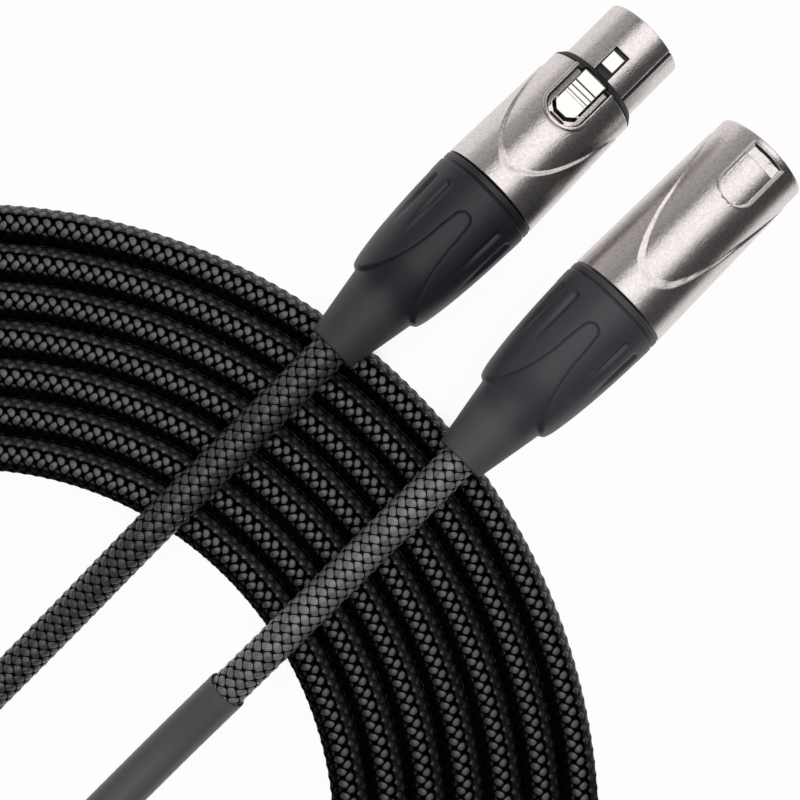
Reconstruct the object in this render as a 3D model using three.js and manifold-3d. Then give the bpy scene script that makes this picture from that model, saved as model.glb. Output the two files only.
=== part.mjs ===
// XLR cable coil. Seven turns of braid-covered microphone cable lie flat, side by side, and both
// ends come up over the turns: one to a female connector with a latch, one to a male connector.
// Millimetres, +Z up, +X the way both connectors point. The origin is on the surface that the
// coil lies on, under the middle of the two connectors.
import * as THREE from 'three';
import { mergeVertices } from 'three/addons/utils/BufferGeometryUtils.js';
import Module from 'manifold-3d';

const wasm = await Module();
wasm.setup();

// Cable and coil
const cableRadius = 3.45;
const turnPitch = 6.95;
const turnCount = 7;
const innerTurnRadius = 70.5;
const coilCentre = { x: -149.95, y: -0.45 };
const coilTop = 6.7;
const coilSkin = 0.25;
const coilEdge = 2;
// Each turn is an oval of four arcs, tighter at its two sides than in front and behind. Behind,
// away from the connectors, each turn steps out by one pitch. Angles are in degrees from +X,
// anticlockwise, and give the way that a turn faces.
const sideArc = { radius: 41, from: 44, to: 136 };
const stepOut = { from: 100, to: 260 };
const innerEnd = -151.2;
const outerEnd = 360 * (turnCount - 1) + 148;

// The two connectors: where the shell meets the boot, and how far each leans nose down
const connectorSide = 14.95;
const female = { x: 0.45, y: connectorSide, z: 10.36, lean: 2.14, roll: -2.5 };
const male = { x: 2.25, y: -connectorSide, z: 10.58, lean: 1.83, roll: 3.5 };

// Connector sizes along the axis, measured forward from the shell's rear edge
const bootLength = 39.8;
const petalLength = 27;
const boreRadius = 3.75;
const shellRearRadius = 10.1;
const shellFrontRadius = 9.35;
const femaleShellLength = 25.8;
const noseRadius = 7.9;
const noseFront = 38.5;
const noseBore = 7.2;
const maleShellLength = 37.1;
const cavityRadius = 8.05;
const cavityFloor = 21.4;
const spigotRadius = 8.1;
const contactCircle = 3.75;
const swooshDepth = 0.35;

// Latch, in the female connector's own frame
const latch = {
  width: 4.9,
  pivotX: 18.3,
  pivotZ: 8.1,
  plateRear: 17.2,
  plateFront: 25.65,
  plateBottom: 8.55,
  plateTop: 9.7,
  armBottom: 5.5,
  armTop: 6.5,
  toothRear: 28.2,
  toothFront: 31.7,
  toothTop: 8.7,
  toothWidth: 2.6,
  springX: 22.6,
};
const latchChannelFloor = 3.6;

const round = 36;
const degree = Math.PI / 180;

const finish = {
  nickel: { color: 0xb5aca6, roughness: 0.35, metalness: 1 },
  bright: { color: 0xd8d4d0, roughness: 0.18, metalness: 1 },
  silver: { color: 0xc9c6c0, roughness: 0.25, metalness: 1 },
  rubber: { color: 0x24252a, roughness: 0.6, metalness: 0 },
  seal: { color: 0x141416, roughness: 0.7, metalness: 0 },
  insulator: { color: 0x1b1b1d, roughness: 0.5, metalness: 0 },
  braid: { color: 0x18181a, roughness: 0.8, metalness: 0 },
  sleeve: { color: 0x2c2d2f, roughness: 0.55, metalness: 0 },
  redCore: { color: 0xa01c1c, roughness: 0.5, metalness: 0 },
  whiteCore: { color: 0xd9d6cc, roughness: 0.5, metalness: 0 },
  copper: { color: 0xb06a3c, roughness: 0.4, metalness: 1 },
};

// ---- solids ----

function solidFrom(geometry) {
  const bare = new THREE.BufferGeometry();
  const source = geometry.index ? geometry.toNonIndexed() : geometry;
  bare.setAttribute('position', source.getAttribute('position').clone());
  const merged = mergeVertices(bare, 1e-4);
  return new wasm.Manifold(new wasm.Mesh({
    numProp: 3,
    vertProperties: merged.attributes.position.array,
    triVerts: new Uint32Array(merged.index.array),
  }));
}

function geometryFrom(solid) {
  const mesh = solid.getMesh();
  const geometry = new THREE.BufferGeometry();
  geometry.setAttribute('position', new THREE.BufferAttribute(mesh.vertProperties, 3));
  geometry.setIndex(new THREE.BufferAttribute(mesh.triVerts, 1));
  geometry.computeVertexNormals();
  return geometry;
}

// A profile of [x, radius] points turned round the connector's axis, which is +X. It runs
// forward along the outside, and a hollow one comes back along the inside and closes.
function revolve(profile, segments = round) {
  const points = profile.map(([x, r]) => new THREE.Vector2(r, x));
  const onAxis = profile[0][1] === 0;
  if (!onAxis) points.push(points[0].clone());
  return new THREE.LatheGeometry(points, segments).rotateZ(-Math.PI / 2);
}

const revolved = (profile, segments) => solidFrom(revolve(profile, segments));

function block(x0, x1, y0, y1, z0, z1) {
  const box = new THREE.BoxGeometry(x1 - x0, y1 - y0, z1 - z0);
  return solidFrom(box.translate((x0 + x1) / 2, (y0 + y1) / 2, (z0 + z1) / 2));
}

// A round bar along X.
function barX(x0, x1, radius, y = 0, z = 0, sides = 16) {
  const bar = new THREE.CylinderGeometry(radius, radius, x1 - x0, sides).rotateZ(-Math.PI / 2);
  return solidFrom(bar.translate((x0 + x1) / 2, y, z));
}

// A round bar along Y.
function barY(y0, y1, radius, x, z, sides = 16) {
  const bar = new THREE.CylinderGeometry(radius, radius, y1 - y0, sides);
  return solidFrom(bar.translate(x, (y0 + y1) / 2, z));
}

// A plan outline, drawn in X and Y, stood up between two heights.
function upright(shape, z0, z1, curveSegments = 8) {
  const depth = z1 - z0;
  const made = new THREE.ExtrudeGeometry(shape, { depth, bevelEnabled: false, curveSegments });
  return solidFrom(made.translate(0, 0, z0));
}

// A side outline, drawn in X and Z, as wide as width and centred on the connector's axis.
function sideways(shape, width, curveSegments = 6) {
  const settings = { depth: width, bevelEnabled: false, curveSegments };
  const made = new THREE.ExtrudeGeometry(shape, settings);
  return solidFrom(made.rotateX(Math.PI / 2).translate(0, width / 2, 0));
}

function tube(curve, radius, steps, sides, bore = 0) {
  const section = new THREE.Shape();
  section.absarc(0, 0, radius, 0, 2 * Math.PI);
  if (bore > 0) {
    const hole = new THREE.Path();
    hole.absarc(0, 0, bore, 0, 2 * Math.PI);
    section.holes.push(hole);
  }
  const curveSegments = sides / 2;
  const settings = { steps, extrudePath: curve, curveSegments, bevelEnabled: false };
  return new THREE.ExtrudeGeometry(section, settings);
}

function meshOf(name, shape, look) {
  const geometry = shape.isBufferGeometry ? shape : geometryFrom(shape);
  const mesh = new THREE.Mesh(geometry, new THREE.MeshStandardMaterial(finish[look]));
  mesh.name = name;
  return mesh;
}

// ---- boot: bushing and strain relief in one rubber moulding ----

// The inner cone shows as a tongue between the two petals, above and below.
function tongueOutline() {
  const outline = new THREE.Shape();
  const tip = -5.2;
  const tipRadius = 1.5;
  outline.moveTo(-petalLength - 1.5, -9.5);
  outline.splineThru([
    new THREE.Vector2(-petalLength + 0.8, -6.6),
    new THREE.Vector2(-24.5, -5),
    new THREE.Vector2(-20.7, -4),
    new THREE.Vector2(-17, -3),
    new THREE.Vector2(-12.5, -2),
    new THREE.Vector2(tip - tipRadius, -tipRadius),
  ]);
  outline.absarc(tip - tipRadius, 0, tipRadius, -Math.PI / 2, Math.PI / 2);
  outline.splineThru([
    new THREE.Vector2(-12.5, 2),
    new THREE.Vector2(-17, 3),
    new THREE.Vector2(-20.7, 4),
    new THREE.Vector2(-24.5, 5),
    new THREE.Vector2(-petalLength + 0.8, 6.6),
    new THREE.Vector2(-petalLength - 1.5, 9.5),
  ]);
  return outline;
}

// Ten finger grooves run along the petals, five on each side.
function fingerGrooves() {
  let grooves = null;
  for (const side of [-1, 1]) {
    for (const angle of [40, 65, 90, 115, 140]) {
      const groove = new THREE.CylinderGeometry(0.55, 0.35, 11, 6).rotateZ(-Math.PI / 2);
      groove.rotateY(2.2 * degree).translate(-9.6, 0, 10.05);
      const solid = solidFrom(groove.rotateX(-side * angle * degree));
      grooves = grooves ? grooves.add(solid) : solid;
    }
  }
  return grooves;
}

function bootSolid() {
  const petals = revolved([
    [-petalLength, 0], [-petalLength, 7.1], [-petalLength + 0.6, 7.75], [-25, 8.3],
    [-21, 9], [-16.5, 9.5], [-12, 9.85], [-8, 10.05], [-3, 10.2], [-2.2, 10.1],
    [-1.9, 9.8], [-1.5, 9.8], [-1.3, 10], [-0.3, 10], [-0.3, 0],
  ]);
  const cone = revolved([
    [-bootLength, 0], [-bootLength, 4.1], [-bootLength + 0.7, 4.75], [-petalLength, 6.95],
    [-20, 8], [-12, 8.9], [-5, 9.55], [-2.5, 9.6], [-2.5, 0],
  ]);
  const spigot = revolved([[-1, 0], [-1, spigotRadius], [6.6, spigotRadius], [7.2, 7.6], [7.2, 0]]);
  const inside = revolved([
    [-bootLength - 1, 0], [-bootLength - 1, boreRadius], [-14, boreRadius], [-8.5, 6.7],
    [8, 6.7], [8, 0],
  ], 24);
  return petals
    .subtract(upright(tongueOutline(), -12, 12, 4))
    .subtract(fingerGrooves())
    .add(cone)
    .add(spigot)
    .subtract(inside);
}

// ---- chuck: a slotted collet that the bushing squeezes onto the cable ----

function chuckSolid() {
  const sleeve = revolved([
    [-12.6, boreRadius + 0.05], [-12.6, 4.3], [-8.4, 6.3], [4, 6.3], [4, boreRadius + 0.05],
  ], 24);
  const slots = block(-13, -2, -0.5, 0.5, -7, 7).add(block(-13, -2, -7, 7, -0.5, 0.5));
  return sleeve.subtract(slots);
}

// ---- shells ----

// Plan outline of what lies ahead of the swoosh, a crescent step on the shell's back.
function swooshOutline(apex, mouth, reach) {
  const outline = new THREE.Shape();
  outline.moveTo(mouth, -reach);
  outline.bezierCurveTo(apex + 7, -reach + 2.6, apex, -reach / 2, apex, 0);
  outline.bezierCurveTo(apex, reach / 2, apex + 7, reach - 2.6, mouth, reach);
  outline.lineTo(mouth + 30, reach);
  outline.lineTo(mouth + 30, -reach);
  outline.closePath();
  return outline;
}

// The skin that the swoosh takes off ahead of its edge, on the back and on the belly.
function swooshCut(length, apex, mouth) {
  const skin = revolved([
    [0, shellRearRadius - swooshDepth], [0, 12], [length + 1, 12],
    [length + 1, shellFrontRadius - swooshDepth * 0.3],
  ]);
  return skin.intersect(upright(swooshOutline(apex, mouth, 9.6), -12, 12, 10));
}

function femaleShellSolid() {
  const front = femaleShellLength;
  const outside = [
    [0, shellRearRadius - 0.3], [0.3, shellRearRadius], [front - 0.3, shellFrontRadius],
    [front, shellFrontRadius - 0.3], [front, noseRadius], [noseFront - 0.5, noseRadius],
    [noseFront, noseRadius - 0.4],
  ];
  const inside = [[noseFront, noseBore], [9.5, noseBore], [9.5, 8.4], [0, 8.4]];
  const body = revolved([...outside, ...inside]);

  // The raised U rim and the well that the button sits in
  const wellRear = 16.9;
  const rimWidth = 0.8;
  const halfWell = 3.5;
  const uShape = (grow, end) => {
    const shape = new THREE.Shape();
    const half = halfWell + grow;
    shape.moveTo(end, -half);
    shape.lineTo(wellRear + halfWell, -half);
    shape.absarc(wellRear + halfWell, 0, half, -Math.PI / 2, Math.PI / 2, true);
    shape.lineTo(end, half);
    shape.closePath();
    return shape;
  };
  const rimSkin = revolved([[14, 8], [14, 10.2], [front - 0.2, 9.85], [front - 0.2, 8]]);
  const rim = rimSkin.intersect(upright(uShape(rimWidth, front - 0.2), 5, 12));
  const well = upright(uShape(0, front + 1), 8.75, 12);
  const slot = block(wellRear + 0.1, front + 0.1, -2.7, 2.7, 6, 12);
  const pinBore = barY(-3.6, 3.6, 0.55, latch.pivotX, latch.pivotZ, 12);
  const throat = block(front - 2, front + 3, -2.5, 2.5, 4, 7.05);
  const toothWindow = block(27.9, 32.2, -1.55, 1.55, 5, 9);
  const keyway = barX(front + 2, noseFront + 1, 0.55, 0, noseRadius, 8);
  const keywayTurned = keyway.rotate([40, 0, 0]);

  return body
    .subtract(swooshCut(front, 5.2, 20.6))
    .add(rim)
    .subtract(well)
    .subtract(slot)
    .subtract(pinBore)
    .subtract(throat)
    .subtract(toothWindow)
    .subtract(keywayTurned);
}

function maleShellSolid() {
  const front = maleShellLength;
  const body = revolved([
    [0, shellRearRadius - 0.3], [0.3, shellRearRadius], [front - 0.6, shellFrontRadius],
    [front, shellFrontRadius - 0.5], [front, cavityRadius + 0.2], [front - 0.4, cavityRadius],
    [9.5, cavityRadius], [9.5, 8.4], [0, 8.4],
  ]);

  // Pocket over the catch, and the opening that the mating latch drops into
  const pocket = new THREE.Shape();
  const pocketFront = front - 1.5;
  const pocketRear = front - 12;
  const half = 3.3;
  pocket.moveTo(pocketFront, -half);
  pocket.lineTo(pocketRear + 2.6, -half);
  pocket.quadraticCurveTo(pocketRear, -half * 0.9, pocketRear, 0);
  pocket.quadraticCurveTo(pocketRear, half * 0.9, pocketRear + 2.6, half);
  pocket.lineTo(pocketFront, half);
  pocket.closePath();
  const pocketSkin = revolved([[20, 9.2], [20, 12], [front + 1, 12], [front + 1, 9]]);
  const catchHole = block(pocketFront - 2.7, pocketFront, -half + 0.15, half - 0.15, 6, 12);
  const keyRib = block(cavityFloor + 0.5, front - 2.5, -0.5, 0.5, 7.3, 8.5).rotate([-40, 0, 0]);

  return body
    .subtract(swooshCut(front, 6.9, 30.6))
    .subtract(pocketSkin.intersect(upright(pocket, 5, 12)))
    .subtract(catchHole)
    .add(keyRib);
}

// ---- gasket ring at the root of the nose ----

function gasketSolid() {
  const rear = femaleShellLength + 0.2;
  return revolved([
    [rear, noseRadius + 0.15], [rear, 9.1], [rear + 0.4, 9.35], [rear + 1, 9.1],
    [rear + 1.4, 8.5], [rear + 1.4, noseRadius + 0.15],
  ]);
}

// ---- latch lever: button plate, leg, arm and locking tooth ----

function leverSolid() {
  const plate = new THREE.Shape();
  const half = latch.width / 2;
  plate.moveTo(latch.plateFront, -half);
  plate.lineTo(latch.plateRear + 2, -half);
  plate.quadraticCurveTo(latch.plateRear, -half, latch.plateRear, 0);
  plate.quadraticCurveTo(latch.plateRear, half, latch.plateRear + 2, half);
  plate.lineTo(latch.plateFront, half);
  plate.closePath();
  let lever = upright(plate, latch.plateBottom, latch.plateTop, 5);

  const leg = block(24.2, 25.4, -2.1, 2.1, latch.armBottom, latch.plateBottom + 0.2);
  const arm = block(24.2, 32, -1.9, 1.9, latch.armBottom, latch.armTop);
  const tooth = new THREE.Shape();
  tooth.moveTo(latch.toothRear, latch.armTop - 0.2);
  tooth.lineTo(latch.toothFront, latch.armTop - 0.2);
  tooth.lineTo(latch.toothFront, 7.5);
  tooth.lineTo(latch.toothFront - 1.3, latch.toothTop);
  tooth.lineTo(latch.toothRear, latch.toothTop);
  tooth.closePath();
  const eye = barY(-half + 0.3, half - 0.3, 0.95, latch.pivotX, latch.pivotZ, 16);
  lever = lever.add(leg).add(arm).add(sideways(tooth, latch.toothWidth)).add(eye);
  for (let ridge = 0; ridge < 4; ridge += 1) {
    const x = 20.2 + 0.85 * ridge;
    const top = latch.plateTop;
    lever = lever.add(block(x, x + 0.35, -half + 0.4, half - 0.4, top - 0.1, top + 0.18));
  }
  return lever.subtract(barY(-half - 1, half + 1, 0.5, latch.pivotX, latch.pivotZ, 12));
}

// A helical spring stands between the insert and the button plate.
function springTube() {
  class Helix extends THREE.Curve {
    getPoint(t, target = new THREE.Vector3()) {
      const turns = 4;
      const foot = latchChannelFloor + 0.5;
      const height = latch.plateBottom - latchChannelFloor - 0.95;
      const angle = 2 * Math.PI * turns * t;
      return target.set(
        latch.springX + 1.05 * Math.cos(angle),
        1.05 * Math.sin(angle),
        foot + height * t,
      );
    }
  }
  return tube(new Helix(), 0.2, 40, 6);
}

// ---- inserts and contacts ----

const contactPlaces = [
  { y: contactCircle, z: 0 },
  { y: -contactCircle, z: 0 },
  { y: 0, z: -contactCircle },
];

function femaleInsertSolid() {
  const rear = 12;
  const face = noseFront - 0.5;
  let insert = revolved([
    [rear, 0], [rear, noseBore - 0.3], [face - 0.4, noseBore - 0.3], [face, noseBore - 0.7],
    [face, 0],
  ]);
  insert = insert.subtract(block(rear - 1, 33.2, -2.7, 2.7, latchChannelFloor, 8));
  for (const { y, z } of contactPlaces) {
    insert = insert.subtract(barX(rear - 1, face - 1.2, 2.05, y, z, 16));
    insert = insert.subtract(barX(face - 2, face + 1, 1.45, y, z, 16));
  }
  return insert;
}

// A socket contact: a turned sleeve in front and a solder cup behind.
function socketSolid(y, z) {
  const rear = 8.5;
  const mouth = noseFront - 2;
  const outside = [[rear, 1.35], [12.3, 1.35], [12.3, 1.8], [mouth - 0.3, 1.8], [mouth, 1.5]];
  const body = revolved([[rear, 0], ...outside, [mouth, 0]], 16);
  return body
    .subtract(barX(mouth - 15, mouth + 1, 1.22, 0, 0, 12))
    .subtract(barX(rear - 1, rear + 3, 0.95, 0, 0, 12))
    .translate([0, y, z]);
}

function maleInsertSolid() {
  const rear = 11;
  const insert = revolved([
    [rear, 0], [rear, cavityRadius - 0.3], [cavityFloor, cavityRadius - 0.3], [cavityFloor, 0],
  ]);
  let bored = insert.subtract(block(rear - 1, cavityFloor - 2, -1.8, 1.8, -9, -6.9));
  for (const { y, z } of contactPlaces) {
    bored = bored.subtract(barX(rear - 1, cavityFloor + 1, 1.45, y, z, 14));
  }
  return bored;
}

// A contact pin: rounded tip in front and a solder cup behind.
function pinSolid(y, z) {
  const rear = 7.5;
  const tip = maleShellLength - 2.4;
  const body = revolved([
    [rear, 0], [rear, 1.2], [tip - 1.1, 1.2], [tip - 0.35, 0.85], [tip, 0.35], [tip, 0],
  ], 16);
  return body.subtract(barX(rear - 1, rear + 3, 0.9, 0, 0, 12)).translate([0, y, z]);
}

// The ground clip is a bent leaf that bears on the shell from a flat in the insert.
function groundClipSolid() {
  const leaf = new THREE.Shape();
  leaf.moveTo(12, -6.95);
  leaf.lineTo(18.6, -6.95);
  leaf.lineTo(18.6, -7.2);
  leaf.lineTo(17, -7.25);
  leaf.lineTo(15.3, -7.8);
  leaf.lineTo(13.6, -7.25);
  leaf.lineTo(12, -7.2);
  leaf.closePath();
  const clip = sideways(leaf, 2.6);
  return clip.translate([0, 0, -0.1]);
}

// ---- inner wires, from the cut end of the cable to the solder cups ----

function wire(name, from, to, radius, look) {
  const lead = 0.42 * (to.x - from.x);
  const curve = new THREE.CubicBezierCurve3(
    new THREE.Vector3(from.x, from.y, from.z),
    new THREE.Vector3(from.x + lead, from.y, from.z),
    new THREE.Vector3(to.x - lead, to.y, to.z),
    new THREE.Vector3(to.x, to.y, to.z),
  );
  return meshOf(name, tube(curve, radius, 8, 8), look);
}

function innerWires(side, cupRear) {
  const wires = [
    { name: `${side}_screen`, look: 'copper', y: 1.3, z: 0.6, radius: 0.55 },
    { name: `${side}_core_1`, look: 'redCore', y: -1.3, z: 0.6, radius: 0.6 },
    { name: `${side}_core_2`, look: 'whiteCore', y: 0, z: -1.5, radius: 0.6 },
  ];
  return wires.map(({ name, look, y, z, radius }, i) => {
    const cup = contactPlaces[i];
    const from = { x: 1.4, y, z };
    const to = { x: cupRear + 1.2, y: cup.y, z: cup.z };
    return wire(name, from, to, radius, look);
  });
}

// ---- cable ----

const smooth = (t) => {
  const held = Math.min(Math.max(t, 0), 1);
  return held * held * (3 - 2 * held);
};

// How far the cable has stepped out from the innermost turn, at an angle that counts the turns.
function steppedOut(angle) {
  const past = angle - stepOut.from;
  const whole = Math.floor(past / 360);
  const part = smooth((past - 360 * whole) / (stepOut.to - stepOut.from));
  return turnPitch * (whole + part);
}

// The cable's centre at such an angle, or a point that lies further out by outward.
function coilPoint(angle, outward = 0) {
  const facing = ((angle + 180) % 360 + 360) % 360 - 180;
  const aside = Math.abs(facing);
  const arcShift = innerTurnRadius - sideArc.radius;
  const centre = new THREE.Vector2(coilCentre.x, coilCentre.y);
  let radius = innerTurnRadius;
  if (aside > sideArc.to) {
    centre.x += 2 * arcShift * Math.cos(sideArc.from * degree);
  } else if (aside > sideArc.from) {
    centre.x += arcShift * Math.cos(sideArc.from * degree);
    centre.y += Math.sign(facing) * arcShift * Math.sin(sideArc.from * degree);
    radius = sideArc.radius;
  }
  const reach = radius + steppedOut(angle) + outward;
  const x = centre.x + reach * Math.cos(facing * degree);
  const y = centre.y + reach * Math.sin(facing * degree);
  return new THREE.Vector2(x, y);
}

// The turns together fill a flat ring. It is notched where the inner end joins them and where
// the outer end leaves.
function coilSolid() {
  const count = 56;
  const half = cableRadius - coilSkin;
  const outer = [];
  const inner = [];
  for (let i = 0; i <= count; i += 1) {
    const turned = (360 * i) / count;
    outer.push(coilPoint(outerEnd - turned, half));
    inner.push(coilPoint(innerEnd + turned, -half));
  }
  const shape = new THREE.Shape(outer);
  shape.holes.push(new THREE.Path(inner));
  const rounded = {
    depth: coilTop - 2 * coilEdge,
    bevelThickness: coilEdge,
    bevelSize: coilEdge,
    bevelOffset: -coilEdge,
    bevelSegments: 2,
  };
  return solidFrom(new THREE.ExtrudeGeometry(shape, rounded).translate(0, 0, coilEdge));
}

// Routes of the two free ends, from the cut end inside the boot to the coil
const femaleRoute = [
  [1, 14.95, 10.35], [-19.5, 14.95, 11.11], [-39.4, 14.95, 11.85], [-46, 14.95, 12],
  [-54, 14.95, 11.6], [-62, 14.95, 10.9], [-71, 14.95, 10.6], [-80, 14.95, 10.6],
  [-87, 14.95, 10.2], [-95, 14.95, 8.4], [-103, 14.95, 6], [-111, 14.95, 4.2],
  [-120, 14.95, 3.5], [-129, 14.95, 3.5], [-137.5, 14.95, 3.5], [-148.7, 13, 3.5],
  [-158.6, 7.5, 3.5], [-166.1, -0.9, 3.5], [-170.4, -11.4, 3.5], [-171, -22.7, 3.5],
];
const maleRoute = [
  [3, -14.95, 10.55], [-17.5, -14.95, 11.21], [-37.6, -14.95, 11.85], [-45, -14.95, 12],
  [-53, -14.95, 11.6], [-61, -14.95, 10.9], [-70, -14.95, 10.6], [-79, -14.95, 10.6],
  [-87, -14.95, 10.2], [-95, -14.95, 8.5], [-103, -14.95, 6.3], [-111, -14.95, 4.6],
  [-120, -14.95, 4], [-129, -14.95, 4], [-138, -14.95, 4], [-145.5, -14.95, 5.5],
  [-152.5, -14.95, 8.1], [-159.5, -14.95, 10.2], [-166.5, -14.95, 10.7], [-172.2, -14.2, 10.7],
  [-179.7, -12.3, 10.6], [-186.8, -9.1, 10.5], [-193.5, -4.7, 10.5], [-199.5, 0.7, 10.5],
  [-204.5, 7, 10.5], [-208.4, 14.1, 10.5], [-211, 21.7, 10.5], [-212.3, 29.5, 10.4],
  [-212.5, 37.5, 9.5], [-211.2, 45.6, 7.1], [-208.1, 52.9, 4.6],
];

function routeCurve(route, joinAngle) {
  const points = route.map(([x, y, z]) => new THREE.Vector3(x, y, z));
  const join = coilPoint(joinAngle);
  points.push(new THREE.Vector3(join.x, join.y, cableRadius + 0.05));
  return new THREE.CatmullRomCurve3(points, false, 'centripetal');
}

// A stretch of a curve, between two distances along it.
function stretch(curve, from, to) {
  const length = curve.getLength();
  const points = [];
  const count = Math.max(2, Math.round((to - from) / 6));
  for (let i = 0; i <= count; i += 1) {
    const distance = from + ((to - from) * i) / count;
    points.push(curve.getPointAt(distance / length));
  }
  return new THREE.CatmullRomCurve3(points, false, 'centripetal');
}

const tailSides = 10;
const tailGap = 1;

function tailSolid(curve) {
  const length = curve.getLength() - tailGap;
  const steps = Math.round(length / 9);
  return tube(stretch(curve, 0, length), cableRadius - 0.05, steps, tailSides);
}

const sleeveRange = { from: 99.5, to: 139.5 };
const sleeveWall = { inner: 3.72, outer: 3.92 };

function sleeveSolid(curve) {
  const path = stretch(curve, sleeveRange.from, sleeveRange.to);
  return tube(path, sleeveWall.outer, 12, 12, sleeveWall.inner);
}

// ---- assembly ----

function connectorGroup({ x, y, z, lean, roll }) {
  const group = new THREE.Group();
  group.position.set(x, y, z);
  group.rotation.set(roll * degree, lean * degree, 0, 'YXZ');
  return group;
}

const cable = new THREE.Group();
const femaleCurve = routeCurve(femaleRoute, innerEnd);
const maleCurve = routeCurve(maleRoute, outerEnd);
cable.add(
  meshOf('cable_coil', coilSolid(), 'braid'),
  meshOf('female_tail', tailSolid(femaleCurve), 'braid'),
  meshOf('male_tail', tailSolid(maleCurve), 'braid'),
  meshOf('marker_sleeve', sleeveSolid(maleCurve), 'sleeve'),
);

const femaleConnector = connectorGroup(female);
const latchPin = barY(-3.3, 3.3, 0.42, latch.pivotX, latch.pivotZ, 12);
femaleConnector.add(
  meshOf('female_shell', femaleShellSolid(), 'nickel'),
  meshOf('gasket_ring', gasketSolid(), 'seal'),
  meshOf('latch_lever', leverSolid(), 'bright'),
  meshOf('latch_pin', latchPin, 'bright'),
  meshOf('latch_spring', springTube(), 'bright'),
  meshOf('female_insert', femaleInsertSolid(), 'insulator'),
  meshOf('female_chuck', chuckSolid(), 'insulator'),
  meshOf('female_boot', bootSolid(), 'rubber'),
  ...contactPlaces.map(({ y, z }, i) => meshOf(`female_contact_${i + 1}`, socketSolid(y, z), 'silver')),
  ...innerWires('female', 8.5),
);

const maleConnector = connectorGroup(male);
maleConnector.add(
  meshOf('male_shell', maleShellSolid(), 'nickel'),
  meshOf('male_insert', maleInsertSolid(), 'insulator'),
  meshOf('male_ground_clip', groundClipSolid(), 'bright'),
  meshOf('male_chuck', chuckSolid(), 'insulator'),
  meshOf('male_boot', bootSolid(), 'rubber'),
  ...contactPlaces.map(({ y, z }, i) => meshOf(`male_pin_${i + 1}`, pinSolid(y, z), 'silver')),
  ...innerWires('male', 7.5),
);

const xlrCableCoil = new THREE.Group();
xlrCableCoil.add(cable, femaleConnector, maleConnector);

export default xlrCableCoil;
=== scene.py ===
import math

import bpy
import numpy as np
from mathutils import Matrix, Vector


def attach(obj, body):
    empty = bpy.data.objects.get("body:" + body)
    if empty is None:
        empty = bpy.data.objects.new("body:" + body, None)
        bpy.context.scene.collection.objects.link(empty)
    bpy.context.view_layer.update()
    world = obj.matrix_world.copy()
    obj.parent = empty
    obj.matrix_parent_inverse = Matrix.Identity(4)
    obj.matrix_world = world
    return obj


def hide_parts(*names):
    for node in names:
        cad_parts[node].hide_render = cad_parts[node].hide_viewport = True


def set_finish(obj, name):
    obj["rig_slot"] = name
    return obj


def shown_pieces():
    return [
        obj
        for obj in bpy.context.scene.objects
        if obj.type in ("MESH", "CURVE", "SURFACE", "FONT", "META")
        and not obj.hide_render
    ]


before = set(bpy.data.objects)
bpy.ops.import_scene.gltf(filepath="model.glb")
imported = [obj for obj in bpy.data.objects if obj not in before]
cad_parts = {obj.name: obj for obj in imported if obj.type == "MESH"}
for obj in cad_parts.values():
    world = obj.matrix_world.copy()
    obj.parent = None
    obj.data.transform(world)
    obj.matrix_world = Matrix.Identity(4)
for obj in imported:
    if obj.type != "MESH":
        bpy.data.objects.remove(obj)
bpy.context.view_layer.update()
mm = 0.001
degree = math.pi / 180


# The faces between the rows of a closed ring of columns, and the flat fans that close the two ends
# round the two last points. A loop has no fans: its last row joins the first.
def gridFaces(rows, columns, loop):
    r, c = np.meshgrid(np.arange(rows if loop else rows - 1), np.arange(columns), indexing="ij")
    n, below = (c + 1) % columns, (r + 1) % rows
    quads = np.stack([r * columns + c, r * columns + n, below * columns + n, below * columns + c], -1)
    if loop:
        return quads.reshape(-1, 4), np.zeros((0, 3), int)
    c = np.arange(columns)
    n = (c + 1) % columns
    first, last = np.full(columns, rows * columns), (rows - 1) * columns
    fans = np.concatenate([np.stack([first, n, c], -1), np.stack([first + 1, last + c, last + n], -1)])
    return quads.reshape(-1, 4), fans


# The pattern's place on every face: u runs round the columns and v along the rows. The last column
# of faces ends at the full count, so the pattern has no seam.
def layPattern(mesh, around, along, inwards):
    u, v = np.append(around, 2 * around[-1] - around[-2]), along
    r, c = np.meshgrid(np.arange(len(v) - 1), np.arange(len(around)), indexing="ij")
    face = np.stack([
        np.stack([u[c], v[r]], -1), np.stack([u[c + 1], v[r]], -1),
        np.stack([u[c + 1], v[r + 1]], -1), np.stack([u[c], v[r + 1]], -1),
    ], 2).reshape(-1, 4, 2)
    if inwards:
        face = face[:, ::-1]
    flat = np.zeros((len(mesh.loops), 2), np.float32)
    flat[:face.shape[0] * 4] = face.reshape(-1, 2)
    mesh.uv_layers.new(name="lay").data.foreach_set("uv", flat.ravel())


# The rims of the two ends stay crisp.
def sharpRims(mesh, rows, columns):
    edges = np.zeros(len(mesh.edges) * 2, dtype=np.int64)
    mesh.edges.foreach_get("vertices", edges)
    low, high = edges.reshape(-1, 2).min(1), edges.reshape(-1, 2).max(1)
    rim = (high < columns) | ((low >= (rows - 1) * columns) & (high < rows * columns))
    mesh.attributes.new("sharp_edge", "BOOLEAN", "EDGE").data.foreach_set("value", rim)


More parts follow.
